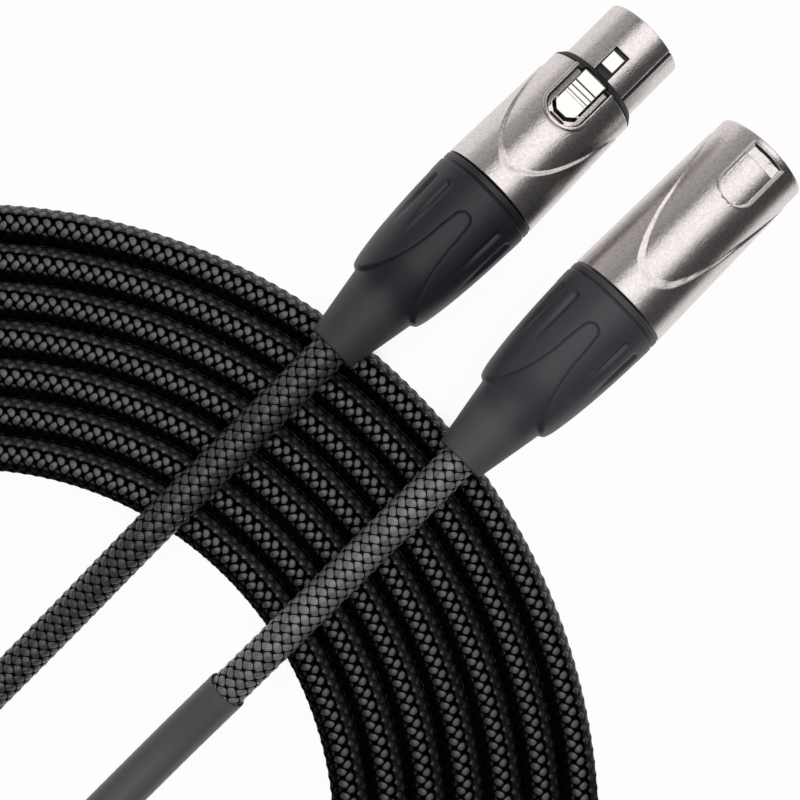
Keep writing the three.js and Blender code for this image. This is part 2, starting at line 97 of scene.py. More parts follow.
# A grid of points becomes a closed mesh: its rows follow each other and its columns run round.
# The signed volume says whether the faces have to be turned outwards.
def ringMesh(name, grid, around=None, along=None, loop=False):
    rows, columns, _ = grid.shape
    points = grid.reshape(-1, 3)
    if not loop:
        points = np.concatenate([points, grid[0].mean(0)[None], grid[-1].mean(0)[None]])
    quads, fans = gridFaces(rows, columns, loop)
    sides = np.concatenate([quads[:, [0, 1, 2]], quads[:, [0, 2, 3]], fans])
    a, b, c = points[sides].transpose(1, 0, 2)
    inwards = np.einsum("ij,ij->i", a, np.cross(b, c)).sum() < 0
    if inwards:
        quads, fans = quads[:, ::-1], fans[:, ::-1]
    corners = np.concatenate([quads.ravel(), fans.ravel()])
    sizes = np.concatenate([np.full(len(quads), 4), np.full(len(fans), 3)])

    mesh = bpy.data.meshes.new(name)
    mesh.vertices.add(len(points))
    mesh.vertices.foreach_set("co", (points * mm).ravel())
    mesh.loops.add(len(corners))
    mesh.loops.foreach_set("vertex_index", corners)
    mesh.polygons.add(len(sizes))
    mesh.polygons.foreach_set("loop_start", np.concatenate([[0], np.cumsum(sizes)[:-1]]))
    mesh.polygons.foreach_set("use_smooth", np.full(len(sizes), True))
    if around is not None:
        layPattern(mesh, around, along, inwards)
    mesh.update(calc_edges=True)
    if not loop:
        sharpRims(mesh, rows, columns)
    mesh.validate()
    piece = bpy.data.objects.new(name, mesh)
    bpy.context.scene.collection.objects.link(piece)
    return piece


# 3t^2 - 2t^3 between the two limits
def ease(x, low, high):
    t = np.clip((x - low) / (high - low), 0, 1)
    return t * t * (3 - 2 * t)


# 0 before a place and 1 past it, with an edge that is soft for some way on both sides.
def beyond(x, place, soft):
    return ease(x, place - soft, place + soft)


# Values from the first break to the last, none further apart than the step that follows a break.
def lines(*breaks):
    made = []
    for start, step, stop in zip(breaks[::2], breaks[1::2], breaks[2::2]):
        count = max(1, math.ceil((stop - start) / step - 1e-6))
        made.append(np.linspace(start, stop, count, endpoint=False))
    return np.concatenate(made + [breaks[-1:]])


# A profile of (x, radius, rounding) corners: every corner becomes a small arc, drawn as a
# parabola between its two tangent points, and the straights get points at an even step.
def profile(corners, step=0.4, closed=True):
    corners = np.array(corners, float)
    count = len(corners)
    points = []
    for i in range(count):
        here, size = corners[i, :2], corners[i, 2]
        back, ahead = corners[i - 1, :2] - here, corners[(i + 1) % count, :2] - here
        reach = [min(size, 0.45 * np.linalg.norm(way)) for way in (back, ahead)]
        if not closed and i in (0, count - 1) or size == 0:
            points.append(here[None])
            continue
        a, b = (here + way / np.linalg.norm(way) * far for way, far in zip((back, ahead), reach))
        t = np.linspace(0, 1, 6)[:, None]
        points.append((1 - t) ** 2 * a + 2 * t * (1 - t) * here + t ** 2 * b)
    made = []
    for i in range(count if closed else count - 1):
        start, stop = points[i][-1], points[(i + 1) % count][0]
        steps = max(1, math.ceil(np.linalg.norm(stop - start) / step))
        share = np.linspace(0, 1, steps, endpoint=False)[:, None]
        made += [points[i][:-1], start + (stop - start) * share]
    if not closed:
        made.append(points[-1])
    return np.concatenate(made)


coil = {
    "diameter": 6.9,
    "pitch": 6.95,                # from one turn to the next
    "turns": 7,
    "innerTurn": 70.5,            # radius of the first turn in front and behind
    "centre": (-149.95, -0.45),
    "sideArc": (41, 44, 136),     # radius of the first turn at the sides, and its angles
    "stepOut": (100, 260),        # where each turn moves out by one pitch
    "innerEnd": -151.2,
    "outerEnd": 360 * 6 + 148,
    "height": 3.45,
}

# the two free ends, from the cut end inside the boot to the coil
femaleRoute = [
    [1, 14.95, 10.35], [-19.5, 14.95, 11.11], [-39.4, 14.95, 11.85], [-46, 14.95, 12],
    [-54, 14.95, 11.6], [-62, 14.95, 10.9], [-71, 14.95, 10.6], [-80, 14.95, 10.6],
    [-87, 14.95, 10.2], [-95, 14.95, 8.4], [-103, 14.95, 6], [-111, 14.95, 4.2],
    [-120, 14.95, 3.5], [-129, 14.95, 3.5], [-137.5, 14.95, 3.5], [-148.7, 13, 3.5],
    [-158.6, 7.5, 3.5], [-166.1, -0.9, 3.5], [-170.4, -11.4, 3.5], [-171, -22.7, 3.5],
]
maleRoute = [
    [3, -14.95, 10.55], [-17.5, -14.95, 11.21], [-37.6, -14.95, 11.85], [-45, -14.95, 12],
    [-53, -14.95, 11.6], [-61, -14.95, 10.9], [-70, -14.95, 10.6], [-79, -14.95, 10.6],
    [-87, -14.95, 10.2], [-95, -14.95, 8.5], [-103, -14.95, 6.3], [-111, -14.95, 4.6],
    [-120, -14.95, 4], [-129, -14.95, 4], [-138, -14.95, 4], [-145.5, -14.95, 5.5],
    [-152.5, -14.95, 8.1], [-159.5, -14.95, 10.2], [-166.5, -14.95, 10.7], [-172.2, -14.2, 10.7],
    [-179.7, -12.3, 10.6], [-186.8, -9.1, 10.5], [-193.5, -4.7, 10.5], [-199.5, 0.7, 10.5],
    [-204.5, 7, 10.5], [-208.4, 14.1, 10.5], [-211, 21.7, 10.5], [-212.3, 29.5, 10.4],
    [-212.5, 37.5, 9.5], [-211.2, 45.6, 7.1], [-208.1, 52.9, 4.6],
]


# The spiral: each turn is an oval of four arcs, tighter at the sides, and steps out by one pitch
# behind. A point lies on its arc's centre plus the arc's radius in the direction of the angle.
def coilLine(angle):
    sideRadius, sideFrom, sideTo = coil["sideArc"]
    stepFrom, stepTo = coil["stepOut"]
    facing = (angle + 180) % 360 - 180
    aside = np.abs(facing)
    side, back = (aside > sideFrom) & (aside <= sideTo), aside > sideTo
    shift = coil["innerTurn"] - sideRadius
    past = angle - stepFrom
    whole = np.floor(past / 360)
    turns = whole + ease(past - 360 * whole, 0, stepTo - stepFrom)
    reach = np.where(side, sideRadius, coil["innerTurn"]) + coil["pitch"] * turns
    x = coil["centre"][0] + (side + 2 * back) * shift * math.cos(sideFrom * degree)
    y = coil["centre"][1] + side * np.sign(facing) * shift * math.sin(sideFrom * degree)
    x = x + reach * np.cos(facing * degree)
    y = y + reach * np.sin(facing * degree)
    return np.stack([x, y, np.full_like(x, coil["height"])], -1)


# The point at u on the straight line that is at a for low and at b for high.
def blend(u, low, high, a, b):
    return a + (b - a) * (u - low) / (high - low)


# Catmull-Rom through the points, with the square root of each chord as its parameter step.
def catmullRom(points, perSpan=60):
    p = np.array(points, float)
    p = np.concatenate([[2 * p[0] - p[1]], p, [2 * p[-1] - p[-2]]])
    t = np.concatenate([[0], np.cumsum(np.sqrt(np.linalg.norm(np.diff(p, axis=0), axis=1)))])
    line = []
    for i in range(1, len(p) - 2):
        t0, t1, t2, t3 = t[i - 1:i + 3]
        u = np.linspace(t1, t2, perSpan, endpoint=False)[:, None]
        first = blend(u, t0, t1, p[i - 1], p[i])
        middle = blend(u, t1, t2, p[i], p[i + 1])
        last = blend(u, t2, t3, p[i + 1], p[i + 2])
        line.append(blend(u, t1, t2, blend(u, t0, t2, first, middle), blend(u, t1, t3, middle, last)))
    return np.concatenate(line + [p[-2:-1]])


def distances(line):
    return np.concatenate([[0], np.cumsum(np.linalg.norm(np.diff(line, axis=0), axis=1))])


# Every column of the values, read off at the wanted places.
def readOff(wanted, places, values):
    return np.stack([np.interp(wanted, places, column) for column in values.T], -1)


# Two unit vectors square to a line at each point: one level with the floor, one above it.
def acrossLine(line):
    ahead = np.gradient(line, axis=0)
    ahead /= np.linalg.norm(ahead, axis=1, keepdims=True)
    level = np.cross(np.array([0, 0, 1.0]), ahead)
    level /= np.linalg.norm(level, axis=1, keepdims=True)
    return level, np.cross(ahead, level)


braid = {
    "columns": 14,        # diamonds round the cable, alternate ones half a pitch on
    "pitch": 2.25,        # along the cable
    "crown": 3.47,        # radius at the middle of a diamond
    "relief": 0.3,        # how far it falls from there to the crossings
    "samples": 4,         # per column round the cable, and per pitch along it
}


# How high the braid stands, 1 on a diamond's crown and 0 at a crossing: the product of two cosines
# across the diamond, which is half of |cos(pi u) + cos(2 pi v)|.
def braidHump(u, v):
    return np.abs(np.cos(math.pi * u) + np.cos(2 * math.pi * v)) / 2


# Rings of points round a path: u counts the braid's columns, from the path's left over its top.
def ringsRound(path, level, above, u, radius):
    turn = u * 2 * math.pi / braid["columns"]
    out = np.cos(turn)[..., None] * level[:, None] + np.sin(turn)[..., None] * above[:, None]
    return path[:, None] + radius[..., None] * out


# A braided tube on a stretch of a line, and the path that it follows.
def braidTube(name, line, start, end):
    rings = round((end - start) / braid["pitch"] * braid["samples"]) + 1
    reached = np.linspace(start, end, rings)
    path = readOff(reached, distances(line), line)
    around = np.arange(braid["columns"] * braid["samples"]) / braid["samples"]
    along = reached / braid["pitch"]
    u, v = np.meshgrid(around, along)
    radius = braid["crown"] - braid["relief"] * (1 - braidHump(u, v) ** 0.6)
    return ringMesh(name, ringsRound(path, *acrossLine(path), u, radius), around, along), path


coilAngles = np.arange(coil["innerEnd"], coil["outerEnd"] + 0.01, 0.25)
coilRoute = coilLine(coilAngles)
coilReached = distances(coilRoute)
femaleLine = catmullRom(femaleRoute + [coilRoute[0]])
maleLine = catmullRom(maleRoute + [coilRoute[-1]])


# One stretch of the cable, which ends in the next one.
def cableCord(name, line, start, end, node):
    piece, path = braidTube(name, line, start, end)
    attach(piece, "cable")
    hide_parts(node)
    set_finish(piece, "braid")


# The coil is cut behind, once a turn, after whole diamonds, so that the next turn goes on in step.
behind = 180 + 360 * np.arange(coil["turns"] - 1)
cuts = np.round(np.interp(behind, coilAngles, coilReached) / braid["pitch"]) * braid["pitch"]
cuts = [0, *cuts, coilReached[-1]]
for turn in range(coil["turns"]):
    cableCord(f"cableTurn{turn + 1}", coilRoute, cuts[turn], cuts[turn + 1], "cable_coil")
cableCord("femaleTail", femaleLine, 0, distances(femaleLine)[-1], "female_tail")
cableCord("maleTail", maleLine, 0, distances(maleLine)[-1], "male_tail")
print(f"cable made: coil {coilReached[-1]:.0f} mm, female end {distances(femaleLine)[-1]:.0f} mm, "
      f"male end {distances(maleLine)[-1]:.0f} mm")


# Their own frame has x forward along the axis from the shell's rear edge, and angles run from the
# top towards +Y. Each leans nose down and is rolled a little.
connectors = {
    "female": {"place": (0.1, 14.95, 10.36), "lean": 2.14, "roll": -2.5},
    "male": {"place": (2.25, -14.95, 10.58), "lean": 1.83, "roll": 3.5},
}
shell = {
    "rear": 10.1,              # radius at the boot
    "front": 9.35,             # radius at the other end
    "middle": 9.7,
    "bore": 8.4,               # radius of the room for the clamp and the wires
    "boreFront": 9.5,          # where that room ends
    "rim": 0.3,                # where the back starts, past the rounded rear edge
    "step": (0.46, 0.105),     # depth of the crescent step, up to the middle and at the front
}


def placed(points, side):
    at = connectors[side]
    lean = Matrix.Rotation(at["lean"] * degree, 3, "Y")
    roll = Matrix.Rotation(at["roll"] * degree, 3, "X")
    return points @ np.array(lean @ roll).T + at["place"]


# Rows of x and radius over the angles: a point is x, radius times sine, radius times cosine.
# What is marked as under gets the second material.
def turned(name, side, x, radius, angles, slot, node, under=None):
    x, radius, angles = np.broadcast_arrays(x, radius, angles)
    grid = np.stack([x, radius * np.sin(angles * degree), radius * np.cos(angles * degree)], -1)
    piece = ringMesh(name, placed(grid, side), loop=True)
    if under is not None:
        beside, ahead = np.roll(under, -1, 1), np.roll(under, -1, 0)
        faces = under | beside | ahead | np.roll(ahead, -1, 1)
        piece.data.polygons.foreach_set("material_index", faces.astype(np.int32).ravel())
        piece["under"] = "insulator"
    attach(piece, "cable")
    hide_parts(node)
    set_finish(piece, slot)
    return piece


# The angles from the top or from the belly, whichever is nearer.
def folded(angles):
    return np.abs((angles + 90) % 180 - 90)


# A smooth line through pairs of numbers, looked up at x.
def smoothThrough(pairs, x, perSpan=20):
    line = catmullRom(pairs, perSpan)
    return np.interp(x, line[:, 0], line[:, 1])


# Rows one after the other. Where a row has one value for all the angles, it is spread over them.
def stacked(parts, angles):
    return np.concatenate([np.broadcast_to(part, (len(part), len(angles))) for part in parts])


# Where the crescent step crosses each angle: x over the sideways distance is looked up on a
# smooth line through the measured places, the same to both sides and on the belly.
def crescent(angles, places):
    mirrored = [(-places[1][0], places[1][1])] + places
    return smoothThrough(mirrored, shell["middle"] * np.sin(folded(angles) * degree), 40)


# Across the crescent's bevel, as shares of its width and of the step's depth.
bevelShape = [(-0.06, 0), (0, 0.01), (0.06, 0.05), (0.3, 0.28), (0.6, 0.62), (0.94, 0.97), (1, 0.995),
              (1.06, 1)]


# The shell's back: rows before the crescent, over its bevel and after it, with the rest of the
# rows at fixed places over the top. The bevel narrows from the apex to the ends.
def shellBack(angles, length, plan, rest):
    start = crescent(angles, plan["crescent"])
    slope = np.gradient(start, angles * degree * shell["middle"])
    lean = np.sqrt(1 + np.minimum(slope ** 2, 25))
    wide = np.interp(folded(angles), plan["bevelAt"], plan["bevel"]) * lean
    wide = np.minimum(wide, length - 1.2 - start)
    held = np.clip(start + wide + 0.4, rest[0], rest[-1] - 0.3)
    across, fall = np.array(bevelShape).T[..., None]
    first = shell["rim"]
    before = first + (start - 0.1 * wide - first) * np.linspace(0, 1, 36, endpoint=False)[:, None]
    over = start + across * wide
    after = over[-1] + (held - over[-1]) * np.linspace(0, 1, 26)[1:-1, None]
    share = (rest - rest[0]) / (rest[-1] - rest[0])
    ahead = held + (rest[-1] - held) * share[:, None]
    x = np.concatenate([before, over, after, ahead])
    fall = np.concatenate([np.zeros((len(before), 1)), fall, np.ones((len(after) + len(ahead), 1))])
    deep, shallow = shell["step"]
    radius = shell["rear"] + (shell["front"] - shell["rear"]) * x / length
    return x, radius - fall * (deep + (shallow - deep) * np.clip(2 * x / length - 1, 0, 1))


# The rest of a shell's section, from the front of its bore back to the rim at the boot.
def shellInside(bore):
    front, rim = shell["boreFront"], shell["rim"]
    return [(front, bore, 0), (front, shell["bore"], 0), (0, shell["bore"], 0.1),
            (0, shell["rear"], 0.28), (rim, shell["rear"], 0)]


femalePlan = {
    "long": 25.5,                                  # without the nose
    "nose": 7.9, "noseRear": 26.6, "noseFront": 39.1, "noseBore": 7.2,
    # sideways distance and x of the step, and the bevel's width at some angles from the top
    "crescent": [(0, 2.95), (3.6, 5.1), (5.65, 7.8), (6.95, 10.5), (8.05, 13.8), (8.8, 17.4),
                 (9.3, 20.2), (9.7, 22.5)],
    "bevelAt": (0, 12, 30, 60, 90), "bevel": (1.6, 1.3, 0.7, 0.38, 0.3),
    "key": -46, "keyHalf": 0.32, "keyDeep": 0.9,   # the groove's angle, half width and depth
    "lip": 0.07,                                   # how high the metal stands beside it
    "window": (1.6, 32.45, 2.6),                   # half its width, where it ends, and its depth
    "slot": (18.6, 6.9),                           # the lever's, in the front edge: half angle, floor
}
latchPlan = {
    "rimCentre": 18.3, "rimLong": 3.4, "rimHalf": 4.2,     # the U's round end, half an ellipse
    "rimWide": 0.62, "rimTop": (10.42, 10.06),             # its bead, and how high it stands
    "floor": 8.95,
    "gap": (16.5, 2.68, 2.6),         # round the button: where it starts, half width, depth
    "notch": (15.29, 15.99, 1.5, 1.1),     # behind the gap: from, to, half width, depth
    "corners": (24.75, 3.75, 1.3),    # the black ends in front: from, half width, depth
    "trench": 0.35,                   # depth of the line inside the rim
}
femaleAngles = lines(
    -180, 2, -54, 1, -45, 0.4, -36, 0.8, -27.5, 0.6, -19.7, 0.3, -15.5, 0.7, -12.3, 0.25, -11, 0.9,
    11, 0.25, 12.3, 0.7, 15.5, 0.3, 19.7, 0.6, 27.5, 0.9, 50, 2, 180)[:-1]


# The mouth of the latch: inside the U the surface falls to a flat floor, and round the button it
# falls on into the gap that the lever moves in. It also says which faces take the black insert: the
# ends in front, which go through the wall, and the line inside the rim, painted shade on the nickel.
def latchMouth(x, radius, angles):
    plan = latchPlan
    y = np.abs(radius * np.sin(angles * degree))
    behind = np.minimum(x - plan["rimCentre"], 0) / plan["rimLong"]
    inside = 1 - np.sqrt(behind ** 2 + (y / plan["rimHalf"]) ** 2)
    top = (np.abs(angles) < 60) & (x > 12)
    level = plan["floor"] / np.cos(np.where(np.abs(angles) < 60, angles, 0) * degree)
    radius = radius + np.minimum(level - radius, 0) * ease(inside, -0.03, 0.05) * top

    trench = ease(inside, 0.02, 0.05) * (1 - ease(inside, 0.11, 0.14))
    gapFrom, gapHalf, gapDeep = plan["gap"]
    # the gap's rear corners are cut off like the button's
    gapHalf = np.minimum(gapHalf, 1.3 + np.maximum(x - gapFrom, 0) * 1.15)
    gap = beyond(gapHalf - y, 0, 0.06) * beyond(x, gapFrom, 0.08)
    notchFrom, notchTo, notchHalf, notchDeep = plan["notch"]
    notch = beyond(notchHalf - y, 0, 0.06) * beyond(x, notchFrom, 0.04) * (1 - beyond(x, notchTo, 0.04))
    cornersFrom, cornersHalf, cornersDeep = plan["corners"]
    corners = beyond(x, cornersFrom, 0.05) * beyond(cornersHalf - y, 0, 0.06)
    cuts = [gapDeep * gap, notchDeep * notch, cornersDeep * corners, plan["trench"] * trench]
    # the ends in front show the insert; the line inside the rim is painted shade in the insert's black
    dark = (np.abs(inside - 0.08) < 0.04) | (corners > 0.5) & (inside > 0.05) & (y > 2.9)
    return radius - np.maximum.reduce(cuts) * top, dark & top & (x > 14.9)


# The groove for the other connector's key: a half ellipse across the nose's surface.
def keyGroove():
    aside = (femaleAngles - femalePlan["key"]) * degree * femalePlan["nose"] / femalePlan["keyHalf"]
    return femalePlan["keyDeep"] * np.sqrt(np.maximum(1 - aside ** 2, 0))


def femaleShellPiece():
    plan, groove = femalePlan, keyGroove()
    long, nose, front, bore = plan["long"], plan["nose"], plan["noseFront"], plan["noseBore"]
    rest = lines(13, 0.3, 14.8, 0.12, 16.2, 0.2, 16.5, 0.06, 16.7, 0.25, long - 0.3)
    backX, backRadius = shellBack(femaleAngles, long, plan, rest)
    backRadius, dark = latchMouth(backX, backRadius, femaleAngles)

    edge = profile([
        (long - 0.3, 9.25, 0), (long, 9.24, 0.25), (long, nose, 0.15), (plan["noseRear"], nose, 0),
    ], closed=False)[1:]
    slotHalf, slotFloor = plan["slot"]
    slot = beyond(slotHalf - np.abs(femaleAngles), 0, 0.4) * (edge[:, 1:] > nose + 0.05)
    edgeRadius = edge[:, 1:] - np.maximum(edge[:, 1:] - slotFloor, 0) * slot

    half, stop, deep = plan["window"]
    noseX = lines(plan["noseRear"] + 0.1, 0.25, stop - 0.15, 0.06, stop + 0.1, 0.3, front - 0.4)[:, None]
    window = beyond(half / nose / degree - np.abs(femaleAngles), 0, 0.3) * (1 - beyond(noseX, stop, 0.06))
    fromGroove = np.abs(femaleAngles - plan["key"]) * degree * nose - plan["keyHalf"]
    lips = plan["lip"] * np.exp(-((fromGroove - 0.16) / 0.13) ** 2)
    noseRadius = nose + lips - deep * window - groove

    rim = profile([(front - 0.4, nose, 0), (front, nose, 0.35), (front, bore, 0.15), *shellInside(bore)],
                  1.5, closed=False)[1:-1]
    wall = np.maximum(rim[:, 1:] - bore - 0.01, 0) * (rim[:, :1] > 30)
    rimRadius = rim[:, 1:] - np.minimum(groove, wall)

    x = stacked([backX, edge[:, :1], noseX, rim[:, :1]], femaleAngles)
    radius = stacked([backRadius, edgeRadius, noseRadius, rimRadius], femaleAngles)
    # what lies under the wall, in the window and beside the button, is the black insert
    under = (radius < nose - 0.1) & (x < 33) & (x > 15) & (np.abs(femaleAngles) < 30)
    under |= (groove > 0.45) & (x > noseX[0]) & (radius < 7.6) & (radius > 6.5)
    # and the faces that latchMouth gives, of which the line inside the rim is painted shade
    under[:len(dark)] |= dark
    return turned("femaleShell", "female", x, radius, femaleAngles, "satin_nickel", "female_shell", under)


femaleShellPiece()


# The U rim: a rounded bead carried along the U, standing on the shell's back. Along the straight
# sides it follows the cylinder that its tops lie on.
def latchRim():
    plan = latchPlan
    turn = np.linspace(-90, 90, 41) * degree
    side = np.linspace(plan["rimCentre"] + 0.3, femalePlan["long"] - 0.1, 15)
    x = np.concatenate([side[::-1], plan["rimCentre"] - plan["rimLong"] * np.cos(turn), side])
    y = plan["rimHalf"] * np.concatenate([np.full(15, -1), np.sin(turn), np.full(15, 1)])
    way = np.stack([np.gradient(x), np.gradient(y)], -1)
    way /= np.linalg.norm(way, axis=1, keepdims=True)
    half = plan["rimWide"] / 2
    section = profile([(-half, -1.3, 0), (-half, 0, 0.17), (half, 0, 0.17), (half, -1.3, 0)], 0.3)
    px = x[:, None] - section[:, 0] * way[:, 1:]
    py = y[:, None] + section[:, 0] * way[:, :1]
    low, high = plan["rimTop"]
    top = low + (high - low) * (px - 14) / 11.6
    pz = np.sqrt(top ** 2 - py ** 2) + section[:, 1]
    piece = ringMesh("latchRim", placed(np.stack([px, py, pz], -1), "female"))
    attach(piece, "cable")
    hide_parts("female_shell")
    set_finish(piece, "satin_nickel")


latchRim()


gasket = {"rear": 25.55, "front": 26.95, "bore": 7.95, "high": 9.2, "low": 8.3, "cut": (17.5, 0.45)}


# The black collar between shell and nose: a cone, cut back behind the button.
def gasketRing():
    angles = np.arange(-180, 180, 1.5)
    rear, front, bore = gasket["rear"], gasket["front"], gasket["bore"]
    section = profile([
        (rear, bore, 0), (rear, gasket["high"], 0.15), (rear + 0.25, gasket["high"], 0.25),
        (front, gasket["low"], 0.15), (front, bore, 0),
    ], 0.3)
    x, radius = section.T[..., None]
    cutHalf, cutDeep = gasket["cut"]
    cut = cutDeep * beyond(cutHalf - np.abs(angles), 0, 1.5) * ease(26.4 - x, 0, 0.8)
    turned("gasketRing", "female", x + cut, radius, angles, "seal_rubber", "gasket_ring")


gasketRing()


# A bar along x: at each station a rounded rectangle, of half width, underside and top.
def latchBar(name, stations, rounding):
    x, half, low, high = np.array(stations, float).T[:, :, None]
    corner = profile([(-1, -1, 0.5), (1, -1, 0.5), (1, 1, 0.5), (-1, 1, 0.5)], 0.25)
    tall = (high - low) / 2
    inner = np.minimum(np.minimum(half, tall) * 0.9, rounding) / 0.5
    y = corner[:, 0] * inner + np.sign(np.round(corner[:, 0], 6)) * (half - inner)
    z = corner[:, 1] * inner + np.sign(np.round(corner[:, 1], 6)) * (tall - inner)
    grid = np.stack([x + 0 * y, y, z + (high + low) / 2], -1)
    piece = ringMesh(name, placed(grid, "female"))
    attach(piece, "latch")
    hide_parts("latch_lever")
    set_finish(piece, "bright_nickel")


button = {
    "rear": 16.8, "front": 25.45, "half": 2.42, "top": 9.67, "under": 8.55,
    "ridges": (20.25, 20.78, 21.72, 22.76), "rises": (0.07, 0.17, 0.22, 0.3),
}
lever = {
    # x, half width, underside and top
    "arm": [(24.62, 1.9, 5.5, 8.7), (25.1, 1.9, 5.5, 8.7), (25.2, 1.9, 5.5, 6.5), (31.5, 1.9, 5.5, 6.5),
            (31.6, 1.8, 5.6, 6.4)],
    "tooth": [(28.25, 1.25, 6.2, 8.5), (28.33, 1.3, 6.2, 8.6), (28.4, 1.3, 6.2, 8.62),
              (31.35, 1.3, 6.2, 8.62), (31.45, 1.3, 6.2, 8.55), (31.7, 1.3, 6.2, 7.9),
              (31.78, 1.25, 6.2, 7.8)],
}


def buttonStations():
    rear, front = button["rear"], button["front"]
    x = lines(rear, 0.04, rear + 0.12, 0.1, 18.3, 0.2, 20.2, 0.035, 23.2, 0.25, front - 0.15, 0.04, front)
    # the rear corners are cut off
    half = np.interp(x, [rear, rear + 1.1, rear + 1.35], [1.05, 2.3, button["half"]])
    # sawtooth ridges: each rises at once and falls off evenly to the next
    starts = np.array(button["ridges"])
    ahead = x[:, None] - starts
    long = np.append(np.diff(starts), 1.1)
    rises = np.array(button["rises"])
    ridge = rises * np.clip(ahead / (0.02 + 0.9 * rises), 0, 1) * np.clip(1 - ahead / long, 0, 1)
    top = button["top"] + ridge.max(1)
    for fromEnd in (x - rear, front - x):
        top -= 0.2 * (1 - np.sqrt(np.clip(fromEnd / 0.15, 0, 1)))
    return np.stack([x, half, np.full_like(x, button["under"]), top], -1)


latchBar("latchButton", buttonStations(), 0.18)
latchBar("latchArm", lever["arm"], 0.1)
latchBar("latchTooth", lever["tooth"], 0.08)
print("female connector made")


malePlan = {
    "long": 36.6, "bore": 8.05,
    "crescent": [(0, 4.2), (3.4, 6.0), (5.06, 8.8), (6.14, 11.9), (7.24, 16.1), (7.95, 20.3), (8.62, 24.6),
                 (9.1, 27.9), (9.7, 33)],
    "bevelAt": (0, 12, 30, 45, 65, 90), "bevel": (1.9, 1.65, 1.0, 0.58, 0.38, 0.3),
    # the key inside: its angle, half width and height, and where it starts and ends
    "key": (46, 0.5, 0.75), "keyReach": (21.9, 34.6),
}
pocketPlan = {
    "front": 35.1, "rear": 24.5, "half": 3.35, "deep": 0.42, "bead": 0.17,
    "catch": 32.95, "catchLevel": 8.15, "catchSlope": 0.12,     # where the catch starts, and its top
}
maleAngles = lines(-180, 2, -46, 1, -24, 0.4, -18, 0.6, 18, 0.4, 24, 1, 46, 2, 180)[:-1]


# The D pocket: distance inside its outline, a rectangle whose rear is rounded off by a curve.
def pocketInside(x, y):
    plan = pocketPlan
    behind = np.clip((plan["rear"] + 3.1 - x) / 3.1, 0, 1)
    half = plan["half"] * np.sqrt(np.maximum(1 - behind ** 2.4, 0))
    return np.minimum(np.minimum(half - y, plan["front"] - x), (x - plan["rear"]) * 2)


# The pocket with a bead round it, and the catch in front, whose flat top slopes down a little.
# It also says where the wall in front of the catch is black, painted shade on the nickel.
def catchPocket(x, radius):
    plan, front = pocketPlan, pocketPlan["front"]
    y = np.abs(radius * np.sin(maleAngles * degree))
    top = (np.abs(maleAngles) < 60) & (x > 22.9)
    inside = pocketInside(x, y)
    bead = plan["bead"] * np.exp(-((inside + 0.22) / 0.2) ** 2)
    radius = radius + (bead - plan["deep"] * ease(inside, -0.12, 0.04)) * top
    catch = beyond(x, plan["catch"], 0.06) * ease(inside, 0, 0.08) * top
    level = plan["catchLevel"] - plan["catchSlope"] * (x - plan["catch"])
    flat = level / np.cos(np.clip(maleAngles, -60, 60) * degree)
    # the wall in front of the catch: painted shade in the insulator's black
    paintedShade = (x > front - 0.1) & (x < front + 0.02) & (y < plan["half"] - 0.1) & top
    return radius + (flat - radius) * catch, paintedShade


def maleShellPiece():
    plan, long, bore = malePlan, malePlan["long"], malePlan["bore"]
    rest = lines(22, 0.3, 24.6, 0.12, 27.8, 0.3, 32.6, 0.08, 33.3, 0.25, 34.8, 0.06, 35.3, 0.2, long - 0.6)
    backX, backRadius = shellBack(maleAngles, long, plan, rest)
    backRadius, paintedShade = catchPocket(backX, backRadius)
    last = backRadius[-1, 0]
    mouth = profile([
        (long - 0.6, last, 0), (long, last - 0.02, 0.55), (long, bore, 0.3), *shellInside(bore),
    ], 1.5, closed=False)[1:-1]
    keyAngle, keyHalf, keyHigh = plan["key"]
    keyRear, keyFront = plan["keyReach"]
    key = np.clip((keyHalf - np.abs(maleAngles - keyAngle) * degree * bore) / 0.08, 0, 1)
    x, radius = mouth.T[..., None]
    inBore = (x > keyRear) & (x < keyFront) & (radius < bore + 0.01)
    x = stacked([backX, x], maleAngles)
    radius = stacked([backRadius, radius - keyHigh * key * inBore], maleAngles)
    paintedShade = stacked([paintedShade, np.full((len(mouth), 1), False)], maleAngles)
    return turned("maleShell", "male", x, radius, maleAngles, "satin_nickel", "male_shell", paintedShade)


maleShell = maleShellPiece()


boot = {
    # x and radius of the low surface and of the raised one, and x and half width of the low tongue
    # between the raised petals, with its round tip in front
    "low": [(-39.8, 4.75), (-39.1, 4.85), (-27, 6.95), (-20, 8), (-12, 8.9), (-5, 9.6), (-2.5, 9.7)],
    "high": [(-27, 7.4), (-26.4, 7.85), (-25, 8.35), (-21, 9), (-16.5, 9.5), (-12, 9.85), (-8, 10.05),
             (-3, 10.2)],
    "tongue": [(-28, 9.5), (-26.9, 7.3), (-25.5, 5.8), (-23, 4.5), (-20.7, 3.6), (-15.8, 2.45), (-11, 2),
               (-8.7, 1.7)],
    "tip": -8.7, "tipRadius": 1.7,
    "groove": 0.3,                # depth of the line round the tongue
    "fingers": (38, 61, 90, 119, 142), "fingerDeep": 0.55, "fingerWide": 0.6,
    "ring": (-1.75, 0.38),        # x and depth of the line before the shell
    # the front edge, the spigot in the shell and the bore, up to the round rear end
    "section": [(-0.5, 10.1, 0), (-0.3, 10.0, 0.2), (-0.3, 8.1, 0), (6.6, 8.1, 0.3), (7.2, 7.6, 0.2),
                (7.2, 6.7, 0), (-8.5, 6.7, 0), (-14, 3.75, 0), (-39.8, 3.75, 0.3), (-39.8, 4.75, 0.55),
                (-39.1, 4.86, 0)],
    "turned": {"female": -6.3, "male": 4.2},     # how far each is screwed past its connector's top
}


